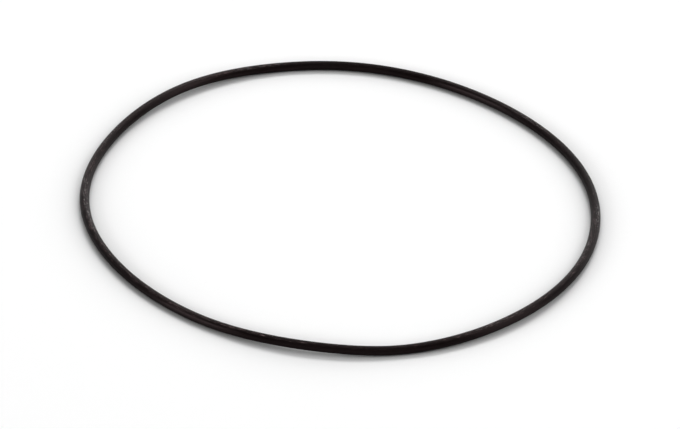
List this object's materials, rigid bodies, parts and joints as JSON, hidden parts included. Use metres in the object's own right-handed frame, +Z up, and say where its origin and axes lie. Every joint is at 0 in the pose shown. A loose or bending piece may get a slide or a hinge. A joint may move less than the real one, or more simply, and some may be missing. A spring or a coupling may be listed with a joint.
{
  "type": "rubber o-ring",
  "caption": "Black rubber o-ring with a thin round section, lying relaxed and slightly oval, for sealing a round lid, tube or housing joint.",
  "frame": {"origin": "middle of the ring's outline, on the bench that it lies on", "axes": "+Z up, out of the ring's plane; -Y towards the side the picture was taken from; +X to that picture's right"},
  "size_m": [0.1452, 0.1456, 0.0033],
  "materials": {
    "rubber": "black moulded rubber, satin, with a little pale dust"
  },
  "bodies": {
    "root": {"o_ring": "rubber"}
  },
  "joints": []
}
